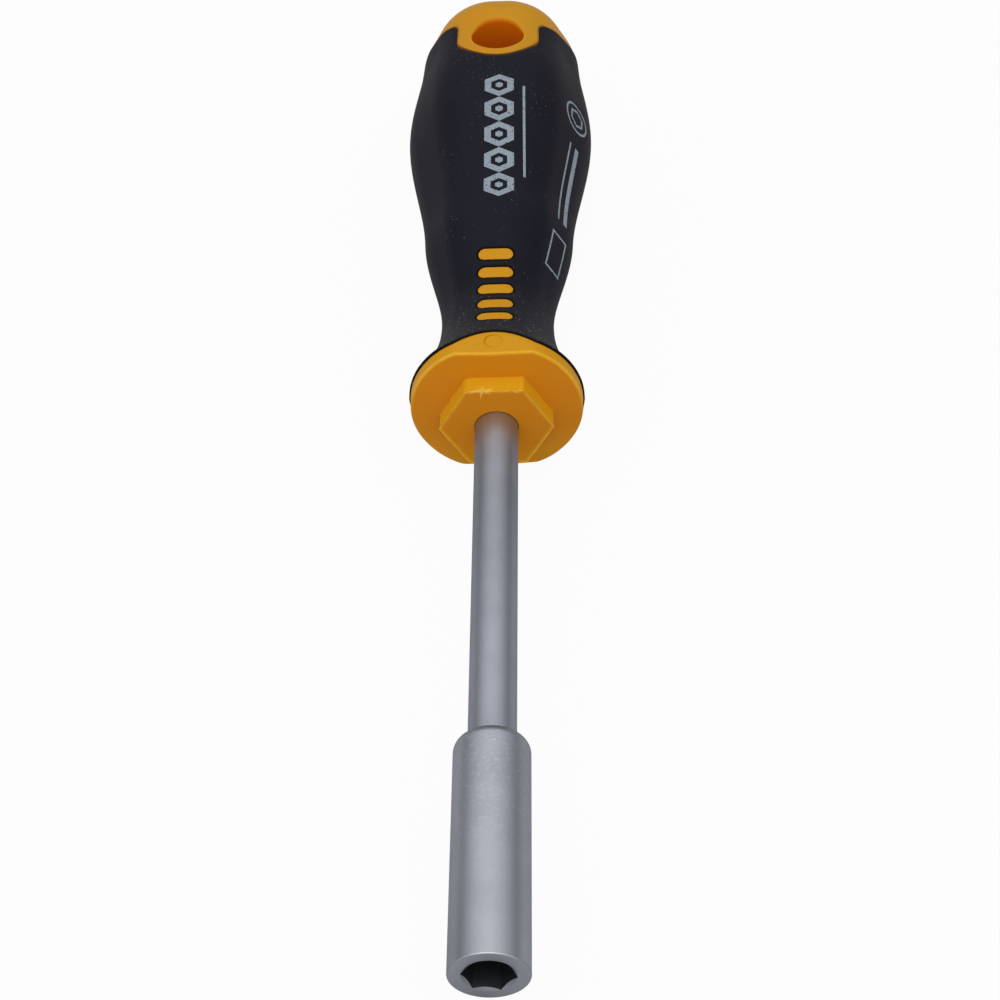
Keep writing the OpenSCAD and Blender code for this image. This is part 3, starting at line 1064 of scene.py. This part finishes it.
class SCREWDRIVER_OT_shaft(bpy.types.Operator):
    """Turns the round shaft and sets the wings on its hidden end"""

    bl_idname = "screwdriver.shaft"
    bl_label = "Shaft"

    def execute(self, context):
        sizes = context.scene.screwdriver_steel
        radius = SHAFT_HIGH.z
        bevel = 0.3 * MM
        low, high = SHAFT_LOW.y, SHAFT_HIGH.y
        profile = [(0, low), (radius - bevel, low), (radius, low + bevel)]
        profile += [(radius, y) for y in spaced((low + 2 * bevel, high - 2 * bevel, 6 * MM))]
        profile += [(radius, high - bevel), (radius - bevel, high), (0, high)]
        whole = turned(profile, spaced((0, FULL_TURN, math.radians(2.5))))
        for i in range(2):
            middle = high - sizes.wing_tip - sizes.wing_length / 2 - i * sizes.wing_pitch
            size = Matrix.Diagonal((2 * SHAFT_HIGH.x, sizes.wing_length, sizes.wing_thickness, 1))
            bmesh.ops.create_cube(whole, size=1, matrix=Matrix.Translation((0, middle, 0)) @ size)
        colours = context.scene.screwdriver_colours
        finish = satin_steel("satin_shaft", colours.shaft, colours.steel_highlight, 0.42, 14, shaft_shade)
        piece("blade_shaft_visual", whole, finish, "satin_shaft", "blade_shaft", sharp=30)
        return {"FINISHED"}


class SCREWDRIVER_OT_socket_parts(bpy.types.Operator):
    """Gives the retaining ring and the magnet inside the socket their finishes"""

    bl_idname = "screwdriver.socket_parts"
    bl_label = "Ring and magnet"

    def execute(self, context):
        colours = context.scene.screwdriver_colours
        finishes = {
            "retaining_ring": plain_metal("spring_steel", colours.spring, 0.32),
            "magnet": plain_metal("magnet", colours.magnet, 0.4),
        }
        for node, finish in finishes.items():
            slots = frame["nodes"][node].data.materials
            slots.clear()
            slots.append(finish)
        return {"FINISHED"}


class SCREWDRIVER_OT_core(bpy.types.Operator):
    """Moulds the hard core: hexagonal boss, flange, inlaid bars, end cap and hang hole"""

    bl_idname = "screwdriver.core"
    bl_label = "Hard core"

    def execute(self, context):
        self.sizes = context.scene.screwdriver_core
        outline = Outline(context.scene)
        skin = combined(handle_form(outline, True), core_field(outline), "INTERSECT")
        skin = combined(skin, self.drill(outline), "DIFFERENCE")
        inner = combined(round_body(core_wall(outline)), self.drill(outline), "DIFFERENCE")
        whole = joined(self.front(outline), self.hole_lining(outline), skin, inner)
        self.mark_surface(whole, outline)
        finish = yellow_plastic(context.scene.screwdriver_colours, self.sizes)
        piece("handle_core_visual", whole, finish, "yellow_plastic", "handle_core")
        return {"FINISHED"}

    def boss_radius(self, a, grow=0.0):
        """Distance from the axis to the outline of the boss, one of whose corners is worn."""
        worn = abs(a - math.radians(120)) < math.radians(30)
        corner = self.sizes.boss_worn if worn else self.sizes.boss_corner
        return rounded_hexagon(self.sizes.boss_flats / 2 + grow, corner, a)

    def rim_radius(self, a, round_r):
        """Distance from the axis to the flange's rim, round or flat."""
        return soft_least(round_r, flat_radius(self.sizes.flats, a), 0.1 * MM)

    def face_place(self, r):
        """Place of the flange's face along the tool, which falls back towards the rim."""
        sizes = self.sizes
        inner = sizes.boss_flats / 2
        run = sizes.flange_front / 2 - sizes.flange_round - inner
        return CORE_LOW.y + sizes.boss_height + (r - inner) * sizes.flange_fall / run

    def edge_start(self, a):
        """Radius and place at which the rounding of the flange's slightly wavy front edge begins."""
        r = self.rim_radius(a, self.sizes.flange_front / 2) - self.sizes.flange_round
        sag = 0.1 * MM * waver(a, 3, 5.2)
        return r, self.face_place(r) + sag

    def front(self, outline):
        """Boss, flange and the cone behind it as one skin round the shaft."""
        sizes = self.sizes
        bore = SHAFT_HIGH.z + sizes.bore_play
        face_y = CORE_LOW.y
        bore_y = face_y + 1.5 * MM
        root_y = face_y + sizes.boss_height
        back_y = outline.front
        fillet = sizes.boss_fillet
        edge = sizes.flange_round
        lip = 0.06 * MM
        front_r = sizes.flange_front / 2
        back_r = sizes.flange_back / 2

        def plain(radius, y):
            return lambda a: (radius, y)

        def boss(grow, y):
            return lambda a: (self.boss_radius(a, grow), y)

        def boss_face(u):
            return lambda a: (bore + (self.boss_radius(a, -0.5 * MM) - bore) * u, face_y)

        def face(u):
            def place(a):
                inside = self.boss_radius(a, fillet)
                start = self.face_place(inside)
                outside, y = self.edge_start(a)
                return inside + (outside - inside) * u, start + (y - start) * u
            return place

        def rim_edge(t):
            def place(a):
                r, y = self.edge_start(a)
                return r + edge * math.sin(t), y + edge * (1 - math.cos(t))
            return place

        def rim(u):
            def place(a):
                start = self.edge_start(a)[1] + edge
                return self.rim_radius(a, front_r + (back_r - front_r) * u), start + (back_y - start) * u
            return place

        def cone(d):
            end_r = core_wall(outline)[0][0]
            round_r = back_r + (end_r - back_r) * d / sizes.cone
            return lambda a: (self.rim_radius(a, round_r), back_y + d)

        def ridge(u):
            def place(a):
                tall = max(0.2, 0.7 + 0.8 * waver(a, 9, 1.7) + 0.5 * waver(a, 34, 4.1))
                flare = max(0.1, 0.7 + 0.7 * waver(a, 11, 7.3) + 0.5 * waver(a, 40, 2.6))
                rise = sizes.flash * tall * (1 - abs(1 - 1.4 * u))
                return self.boss_radius(a, sizes.flash_flare * flare * u), face_y - rise
            return place

        rows = [plain(HIDDEN_R, bore_y), plain(bore, bore_y), plain(bore, face_y + lip)]
        rows += [plain(bore + lip, face_y), plain(bore + 4 * lip, face_y)]
        rows += [boss_face(u) for u in (0.4, 0.8, 1)]
        rows += [boss(-0.2 * MM, face_y), boss(-0.08 * MM, face_y - 0.01 * MM)]
        rows += [ridge(u) for u in (0.35, 0.7, 1)]
        rows += [boss(0.05 * MM, face_y + 0.14 * MM)]
        rows += [boss(0, face_y + d * MM) for d in (0.3, 1, 2)]
        rows += [boss(0, root_y - fillet)]
        rows += [
            boss(fillet * (1 - math.cos(t)), root_y - fillet * (1 - math.sin(t)))
            for t in [math.radians(15 * i) for i in range(1, 6)]
        ]
        rows += [face(u) for u in (0, 0.05, 0.2, 0.4, 0.6, 0.8, 0.95, 1)]
        rows += [rim_edge(math.radians(15 * i)) for i in range(1, 7)]
        rows += [rim(u) for u in (0.1, 0.25, 0.4, 0.55, 0.7, 0.85, 1)]
        rows += [cone(d * MM) for d in spaced((0.12, 3.6, 0.12), (3.6, sizes.cone / MM, 0.8))]
        rows += [plain(HIDDEN_R, back_y + sizes.cone), rows[0]]
        columns = spaced((0, FULL_TURN, math.radians(0.75)))
        skin = wrap(rows, columns, lambda row, a: around(*row(a), a))
        return combined(skin, self.pin_mark(), "DIFFERENCE")

    def pin_mark(self):
        """Ring that cuts the mould's pin mark into the top flat, deeper at its back."""
        sizes = self.sizes
        mesh = bmesh.new()
        circle = bmesh.ops.create_circle(mesh, segments=10, radius=sizes.mark_wire / 2)["verts"]
        bmesh.ops.rotate(mesh, verts=circle, matrix=Matrix.Rotation(math.pi / 2, 3, "X"))
        bmesh.ops.translate(mesh, verts=circle, vec=(sizes.mark / 2, 0, 0))
        bmesh.ops.spin(mesh, geom=mesh.verts[:] + mesh.edges[:], cent=(0, 0, 0), axis=(0, 0, 1),
                       angle=FULL_TURN, steps=72, use_merge=True)
        middle = Vector((0, GRIP_LOW.y - sizes.mark_place, sizes.flats / 2))
        tilt = Matrix.Rotation(math.radians(-2.6), 4, "X") @ Matrix.Rotation(math.radians(-2.8), 4, "Y")
        bmesh.ops.transform(mesh, matrix=Matrix.Translation(middle) @ tilt, verts=mesh.verts)
        return weld(mesh)

    def hole_edge(self, a):
        """Rounding of the hang hole's edge, softer at its back."""
        front, back = self.sizes.hole_round, self.sizes.hole_back_round
        return front + (back - front) * ramp(math.sin(a), 0, 1)

    def hole_mouth(self, a):
        """Radius of the hang hole at its ends, inside the rounded edge."""
        return HOLE_R + self.sizes.hole_lean * max(0, math.sin(a)) ** 4

    def drill(self, outline):
        """Cutter for the hang hole with its rounded edge."""
        reach = outline.sizes.belly
        mouth = []
        for a in spaced((0, FULL_TURN, math.radians(2.5)))[:-1]:
            r = self.hole_mouth(a) + self.hole_edge(a)
            mouth.append(Vector((r * math.cos(a), HOLE_Y + r * math.sin(a), -reach)))
        return prism(mouth, Vector((0, 0, 2 * reach)))

    def hole_lining(self, outline):
        """Wall of the hang hole with rounded edges, on the handle's surface at both ends."""
        steps = [math.radians(10 * i) for i in range(10)]
        rows = [(t, 1) for t in steps] + [(None, 1)]
        rows += [(t, -1) for t in reversed(steps)] + rows[:1]

        def place(row, a):
            t, side = row
            soft = self.hole_edge(a)
            r = self.hole_mouth(a) + soft * (1 - math.sin(t)) if t is not None else HOLE_R
            x, y = r * math.cos(a), HOLE_Y + r * math.sin(a)
            if t is None:
                return Vector((x, y, 0))
            return Vector((x, y, side * (outline.height(x, y) - soft * (1 - math.cos(t)))))

        return wrap(rows, spaced((0, FULL_TURN, math.radians(2.5))), place)

    def mark_surface(self, mesh, outline):
        """Marks every point, so that the finish can tell edges, sides, faces, hole and seam apart."""
        layers = {name: mesh.verts.layers.float.new(name) for name in CORE_MARKS}
        mesh.normal_update()
        for vert in mesh.verts:
            marks = dict.fromkeys(CORE_MARKS, 0.0)
            if vert.co.y < outline.front + self.sizes.cone:
                self.mark_front(marks, vert.co, vert.normal)
            elif vert.co.y > outline.front + outline.lobe_start - 1 * MM:
                self.mark_end(marks, vert.co, vert.normal, outline)
            for name, value in marks.items():
                vert[layers[name]] = value

    def mark_front(self, marks, point, normal):
        """Marks a point of the boss, the flange or the cone behind it.

        Flash and chips are marked as they are; the boss and the flange's sides get painted light,
        the flange's front edge a painted highlight and the front faces painted shade.
        """
        sizes = self.sizes
        x, y, z = point
        rim_back = GRIP_LOW.y
        if y < CORE_LOW.y - 0.004 * MM:
            marks["torn"] = min(0.8, (CORE_LOW.y - y) / (0.9 * sizes.flash))
        elif 0 < z < 5 * MM and x > 12 * MM and rim_back - 0.9 * MM < y < rim_back:
            marks["torn"] = min(1, max(0, 2.2 * (noise.noise(point / (0.4 * MM)) - 0.15)))
        # Painted light: the whole boss and the flange's sides take the lighter yellow, its flats less.
        if y < CORE_LOW.y + sizes.boss_height:
            marks["bright"] = 1
        else:
            marks["bright"] = max(0.3, 1 - abs(normal.z))
            # Painted highlight along the flange's rounded front edge, strongest on its upper part.
            r, start = self.edge_start(math.atan2(z, x))
            half = sizes.flange_round / 2
            away = math.hypot(math.hypot(x, z) - r - half, y - start - half)
            glow = 0.6 * ramp(z, -4 * MM, 6 * MM) * (1 - ramp(away, 0.15 * MM, 0.5 * MM))
            marks["torn"] = max(marks["torn"], glow)
        # Painted shade: faces turned towards the socket's end take the deeper yellow, less towards the
        # bottom.
        if y < rim_back:
            marks["front"] = ramp(-normal.y, 0.35, 0.8) * (1 - 0.5 * ramp(-z, 2 * MM, 11 * MM))

    def mark_end(self, marks, point, normal, outline):
        """Marks a point of the hard end: a painted shadow in the seam along the grip,
        painted shade in the hang hole and a painted highlight along the hole's front edge.
        """
        # Painted shadow in the seam along the grip, wider and darker at the front of the lobe.
        x, y = point.xy
        ahead = ramp((HOLE_Y - y) / outline.lobe_r, 0, 0.6)
        width = (0.35 + 0.4 * ahead) * MM
        near = 1 - ramp(-outline.seam(point), 0.5 * width, width)
        marks["seam"] = (0.55 + 0.45 * ahead) * near
        turn = math.atan2(y - HOLE_Y, x)
        if math.hypot(x, y - HOLE_Y) < self.hole_mouth(turn) + self.hole_edge(turn):
            inward = -normal.x * math.cos(turn) - normal.y * math.sin(turn)
            # Painted shade on the wall of the hang hole, where it faces inwards.
            marks["hole"] = ramp(inward, 0.4, 1)
            # Painted highlight along the rounded front edge of the hang hole.
            if y < HOLE_Y:
                marks["torn"] = 0.6 * ramp(inward, 0, 0.3) * (1 - ramp(inward, 0.6, 0.9))


class SCREWDRIVER_OT_grip(bpy.types.Operator):
    """Moulds the soft grip over the core"""

    bl_idname = "screwdriver.grip"
    bl_label = "Soft grip"

    def execute(self, context):
        outline = Outline(context.scene)
        sizes = outline.sizes
        gaps = core_field(outline, sizes.rear_gap, sizes.bar_gap)
        shell = combined(handle_form(outline, False), gaps, "DIFFERENCE")
        shell = combined(shell, round_body(self.cone(outline) + core_wall(outline)), "DIFFERENCE")
        self.mark_edge_shadow(shell, outline)
        finish = black_rubber(context.scene.screwdriver_colours)
        piece("soft_grip_visual", shell, finish, "black_rubber", "soft_grip")
        return {"FINISHED"}

    def mark_edge_shadow(self, mesh, outline):
        """Marks the edges along the hard core, where a painted shadow darkens the grip."""
        sizes = outline.sizes
        edge = mesh.verts.layers.float.new("edge")
        root = outline.core.flange_back / 2
        slope = (root - core_wall(outline)[0][0]) / outline.core.cone
        width = 0.4 * MM
        for vert in mesh.verts:
            d = vert.co.y - outline.front
            if d > outline.lobe_start - 2 * MM:
                continue
            away = outline.seam(vert.co, sizes.rear_gap, sizes.bar_gap)
            if abs(vert.co.z) > outline.core.flats / 2 - 0.03 * MM and d < outline.waist:
                away = (math.hypot(vert.co.x, vert.co.z) - root + slope * d - sizes.lip_gap) / slope
            elif d < 2 * width:
                away = min(away, d)
            vert[edge] = 1 - ramp(away, 0.3 * width, width)

    def cone(self, outline):
        """Outline of the grip's inside behind the flange, a gap away from the core."""
        root = outline.core.flange_back / 2
        gap = outline.sizes.lip_gap
        end_r = core_wall(outline)[0][0]
        start = 1 * MM
        narrower = root + (end_r - root) * start / outline.core.cone
        return [(root + gap / 2, outline.front - start), (root + gap / 2, outline.front),
                (narrower + gap, outline.front + start)]


class SCREWDRIVER_OT_stage(bpy.types.Operator):
    """Sets the pale floor, the soft light and the camera"""

    bl_idname = "screwdriver.stage"
    bl_label = "Floor, light and camera"

    def execute(self, context):
        scene = context.scene
        settings = scene.screwdriver_stage
        scene.view_settings.view_transform = "Standard"
        self.lay_floor(settings)
        self.hang_lamp(scene, settings)
        self.light_room(scene, settings)
        self.set_camera(scene, settings)
        return {"FINISHED"}

    def seen(self, finish, settings):
        """How much plain white the floor shows to a ray: most to the camera, some to metal and glass."""
        camera, glossy, through = [
            finish.node("ShaderNodeLightPath", output=f"Is {kind} Ray")
            for kind in ("Camera", "Glossy", "Transmission")
        ]
        return camera * settings.white + (glossy + through) * settings.white_mirrored

    def lay_floor(self, settings):
        mesh = bmesh.new()
        bmesh.ops.create_grid(mesh, x_segments=1, y_segments=1, size=settings.floor_span / 2)
        bmesh.ops.translate(mesh, verts=mesh.verts, vec=(0, 0, CAD_BOX[0].z))
        floor = shape_object("floor", mesh)
        finish = Finish("floor_white")
        grey = opaque([settings.floor_grey] * 3)
        finish.surface(Base_Color=grey, Roughness=0.9, Specular_IOR_Level=0.0)
        glow = finish.node("ShaderNodeEmission", {}, {"Color": (1, 1, 1, 1), "Strength": 1.0})
        mixed = finish.node("ShaderNodeMixShader", {}, {
            0: self.seen(finish, settings),
            1: Wire(finish, finish.shader.outputs[0]),
            2: glow,
        })
        finish.connect(finish.tree.nodes["Material Output"], {"Surface": mixed})
        floor.data.materials.append(finish.material)

    def hang_lamp(self, scene, settings):
        data = bpy.data.lights.new("lamp", "AREA")
        data.shape = "DISK"
        data.size = settings.lamp_span
        data.energy = settings.lamp_power
        lamp = bpy.data.objects.new("lamp", data)
        middle = (CAD_BOX[0] + CAD_BOX[1]) / 2
        lamp.matrix_world = (
            Matrix.Translation((middle.x, middle.y, CAD_BOX[0].z))
            @ Matrix.Rotation(settings.lamp_tilt, 4, "X")
            @ Matrix.Translation((0, 0, settings.lamp_height))
        )
        scene.collection.objects.link(lamp)

    def light_room(self, scene, settings):
        world = bpy.data.worlds.new("room")
        scene.world = world
        room = Nodes(world)
        direction = room.node("ShaderNodeTexCoord", output="Generated")
        x, y, z = [room.node("ShaderNodeSeparateXYZ", {}, {0: direction}, output=axis) for axis in "XYZ"]
        up = room.between(z, 0.12, 0.78)
        front = room.between(0 - y, -0.35, 0.45)
        back = settings.sky_back
        rise = (up * (settings.sky_top - back)).most(front * (settings.sky_front - back))
        right = 1 - x.most(0.0) * settings.right_fall
        camera = room.node("ShaderNodeLightPath", output="Is Camera Ray")
        strength = (back + rise) * right * (1 - camera) + camera
        room.connect(room.tree.nodes["Background"], {"Color": (1, 1, 1, 1), "Strength": strength})

    def set_camera(self, scene, settings):
        data = bpy.data.cameras.new("camera")
        data.sensor_width = 36
        data.lens = settings.lens / MM
        camera = bpy.data.objects.new("camera", data)
        camera.matrix_world = (
            Matrix.Rotation(settings.tool_roll, 4, "Y")
            @ Matrix.Translation(settings.eye)
            @ Matrix.Rotation(math.pi / 2 - settings.pitch, 4, "X")
            @ Matrix.Rotation(settings.camera_roll, 4, "Z")
        )
        scene.collection.objects.link(camera)
        scene.camera = camera


OPERATORS = (
    SCREWDRIVER_OT_stage, SCREWDRIVER_OT_sleeve, SCREWDRIVER_OT_shaft, SCREWDRIVER_OT_socket_parts,
    SCREWDRIVER_OT_core, SCREWDRIVER_OT_grip,
)
GROUPS = {
    "screwdriver_steel": SteelSizes,
    "screwdriver_core": CoreSizes,
    "screwdriver_grip": GripSizes,
    "screwdriver_colours": FinishColours,
    "screwdriver_stage": StageSettings,
}


class SCREWDRIVER_PT_pieces(bpy.types.Panel):
    """Lists the pieces of the screwdriver"""

    bl_idname = "SCREWDRIVER_PT_pieces"
    bl_label = "Bit holder screwdriver"
    bl_space_type = "VIEW_3D"
    bl_region_type = "UI"
    bl_category = "Screwdriver"

    def draw(self, context):
        for operator in OPERATORS:
            self.layout.operator(operator.bl_idname)
        for name in GROUPS:
            group = getattr(context.scene, name)
            box = self.layout.box()
            for key in group.__annotations__:
                box.prop(group, key)


def register():
    for group in GROUPS.values():
        bpy.utils.register_class(group)
    for name, group in GROUPS.items():
        setattr(bpy.types.Scene, name, bpy.props.PointerProperty(type=group))
    for operator in OPERATORS:
        bpy.utils.register_class(operator)
    bpy.utils.register_class(SCREWDRIVER_PT_pieces)


def unregister():
    bpy.utils.unregister_class(SCREWDRIVER_PT_pieces)
    for operator in reversed(OPERATORS):
        bpy.utils.unregister_class(operator)
    for name in GROUPS:
        delattr(bpy.types.Scene, name)
    for group in reversed(GROUPS.values()):
        bpy.utils.unregister_class(group)


def main():
    register()
    bpy.ops.screwdriver.stage()
    bpy.ops.screwdriver.sleeve()
    bpy.ops.screwdriver.shaft()
    bpy.ops.screwdriver.socket_parts()
    bpy.ops.screwdriver.core()
    bpy.ops.screwdriver.grip()


if __name__ == "__main__":
    main()
